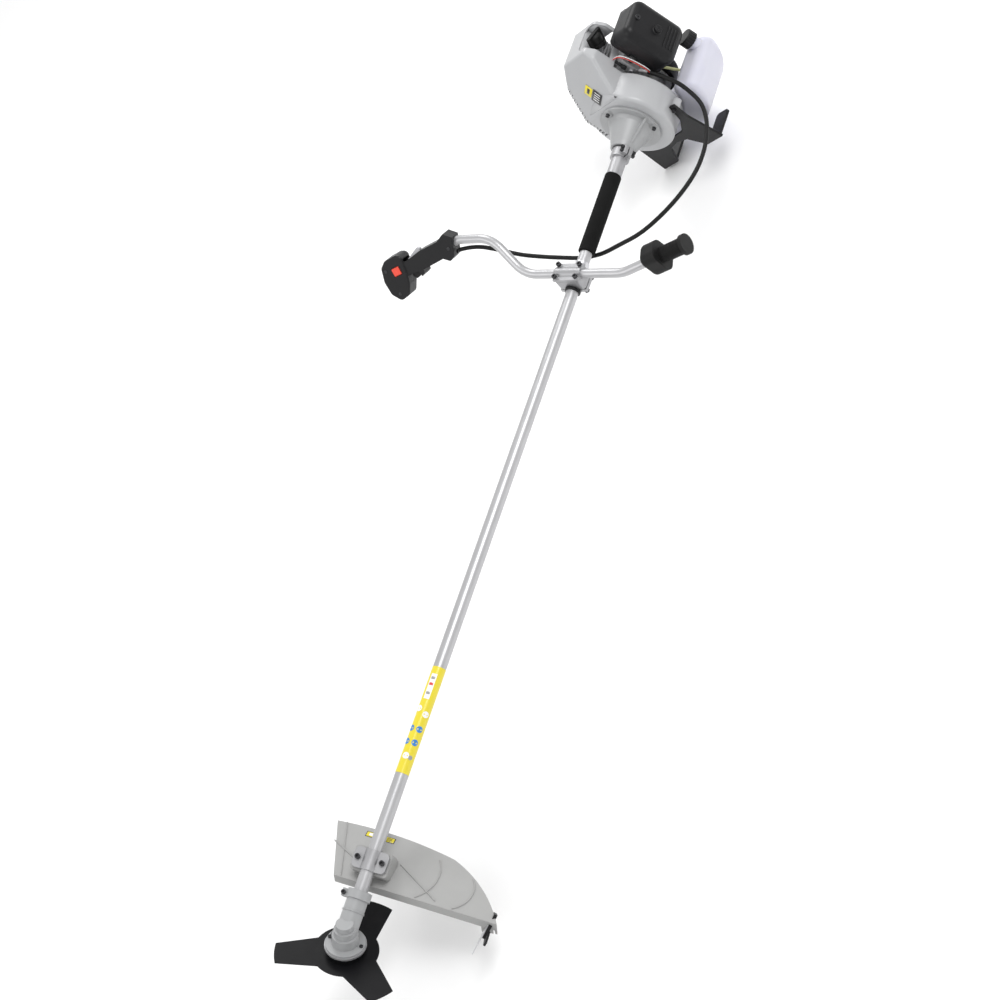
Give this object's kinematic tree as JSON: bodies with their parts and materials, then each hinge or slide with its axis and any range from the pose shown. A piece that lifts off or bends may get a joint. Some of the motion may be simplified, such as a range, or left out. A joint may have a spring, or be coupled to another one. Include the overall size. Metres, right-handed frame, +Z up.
{
  "type": "brush cutter",
  "caption": "Petrol brush cutter: engine and tank on a long straight shaft with a bicycle handlebar, throttle grip, guard and three-tooth blade.",
  "frame": {"origin": "centre of the harness eye under the shaft", "axes": "+X along the shaft from the engine to the blade, +Y to the operator's left, +Z up with the handlebar level"},
  "size_m": [2.0492, 0.7425, 0.3707],
  "materials": {
    "silver_cover": "satin light grey paint film on moulded nylon",
    "grey_casting": "light grey paint on cast aluminium",
    "silver_tube": "satin silver",
    "raw_casting": "bare die casting",
    "grey_plastic": "fine-grained grey",
    "black_plastic": "fine-grained black",
    "light_plastic": "light grey",
    "red_plastic": "glossy red",
    "black_rubber": "matte black",
    "foam": "closed-cell foam, black",
    "blade_paint": "satin black paint",
    "tank_plastic": "milky translucent polyethylene",
    "bulb_plastic": "clear-amber rubber",
    "dark_screws": "blackened steel",
    "bright_steel": "zinc plated",
    "iron": "machined",
    "heat_steel": "heat darkened"
  },
  "bodies": {
    "frame": {"air_filter_base": "black_plastic", "air_filter_cover": "black_plastic", "bearing_cap": "raw_casting", "carburettor": "raw_casting", "clamp_ring": "black_plastic", "clutch_housing": "grey_casting", "crankcase": "raw_casting", "cylinder": "raw_casting", "engine_screws": "dark_screws", "engine_shroud": "silver_cover", "engine_stand": "black_plastic", "foam_sleeve": "foam", "fuel_line": "black_rubber", "fuel_tank": "tank_plastic", "gear_case": "grey_casting", "gear_screws": "dark_screws", "gearhead_bearings": "bright_steel", "guard": "grey_plastic", "guard_bolts": "dark_screws", "guard_bracket": "raw_casting", "handle_clamp_base": "raw_casting", "handle_clamp_bolts": "dark_screws", "handle_clamp_cap": "raw_casting", "handle_clamp_foot": "raw_casting", "handlebar": "silver_tube", "hanger_band": "bright_steel", "knife_holder": "black_plastic", "left_grip": "black_rubber", "line_knife": "bright_steel", "muffler": "heat_steel", "piston": "raw_casting", "plug_boot": "black_rubber", "shaft_bushes": "black_plastic", "shaft_collar": "raw_casting", "shaft_tube": "silver_tube", "spark_plug": "bright_steel", "starter_housing": "black_plastic", "throttle_cable": "black_rubber", "throttle_shell_front": "black_plastic", "throttle_shell_rear": "black_plastic"},
    "driveline": {"drive_shaft": "bright_steel", "pinion_gear": "bright_steel", "clutch_drum": "iron"},
    "cutter": {"output_spindle": "bright_steel", "crown_gear": "bright_steel", "inner_flange": "raw_casting", "blade": "blade_paint", "support_cup": "raw_casting", "blade_nut": "bright_steel"},
    "crank": {"crankshaft": "bright_steel", "flywheel": "iron", "clutch_shoes": "iron"},
    "trigger": {"throttle_trigger": "black_plastic"},
    "carburettor_arm": {"throttle_arm": "bright_steel"},
    "lockout": {"lockout_lever": "light_plastic"},
    "switch": {"stop_switch": "red_plastic"},
    "choke": {"choke_lever": "black_plastic"},
    "primer": {"primer_bulb": "bulb_plastic"},
    "cap": {"fuel_cap": "black_plastic"},
    "starter_grip": {"starter_handle": "black_plastic"}
  },
  "joints": [
    {"name": "cutter_spin", "type": "hinge", "parent": "frame", "child": "cutter", "pos_m": [1.4, 0, 0.032], "axis": [-0.5736, 0.2802, 0.7698], "continuous": true},
    {"name": "driveline_spin", "type": "hinge", "parent": "frame", "child": "driveline", "pos_m": [1.38, 0, 0.032], "axis": [1, 0, 0], "continuous": true},
    {"name": "crank_spin", "type": "hinge", "parent": "frame", "child": "crank", "pos_m": [-0.435, 0, 0.032], "axis": [1, 0, 0], "continuous": true},
    {"name": "trigger_squeeze", "type": "hinge", "parent": "frame", "child": "trigger", "pos_m": [0.02705, -0.37928, 0.09358], "axis": [-0.7812, -0.2157, -0.5859], "range_deg": [0, 12], "stiffness_Nm_per_rad": 1.5, "springref_deg": -11.46},
    {"name": "carburettor_arm_turn", "type": "hinge", "parent": "frame", "child": "carburettor_arm", "pos_m": [-0.4228, 0.01934, 0.11703], "axis": [1, 0, 0], "range_deg": [0, 48]},
    {"name": "lockout_press", "type": "hinge", "parent": "frame", "child": "lockout", "pos_m": [0.02433, -0.38544, 0.09947], "axis": [-0.7812, -0.2157, -0.5859], "range_deg": [0, 8], "stiffness_Nm_per_rad": 1.2, "springref_deg": -8.59},
    {"name": "stop_switch_rock", "type": "hinge", "parent": "frame", "child": "switch", "pos_m": [0.04905, -0.41311, 0.1023], "axis": [0.3521, -0.9272, -0.128], "range_deg": [0, 10]},
    {"name": "choke_turn", "type": "hinge", "parent": "frame", "child": "choke", "pos_m": [-0.4228, 0.01089, 0.13293], "axis": [1, 0, 0], "range_deg": [-70, 0]},
    {"name": "primer_press", "type": "slide", "parent": "frame", "child": "primer", "axis": [0, -0.4695, 0.8829], "range_m": [0, 0.0035], "stiffness_N_per_m": 600, "springref_m": -0.002},
    {"name": "fuel_cap_unscrew", "type": "hinge", "parent": "frame", "child": "cap", "pos_m": [-0.527, 0.11485, 0.05456], "axis": [0, -0.4695, 0.8829], "range_deg": [0, 540]},
    {"name": "starter_pull", "type": "slide", "parent": "frame", "child": "starter_grip", "axis": [-0.5, -0.4066, 0.7647], "range_m": [0, 0.6], "stiffness_N_per_m": 15, "springref_m": -0.4}
  ],
  "couplings": [
    {"joint": "driveline_spin", "follows": "cutter_spin", "ratio": -1.4615},
    {"joint": "carburettor_arm_turn", "follows": "trigger_squeeze", "ratio": 4}
  ]
}
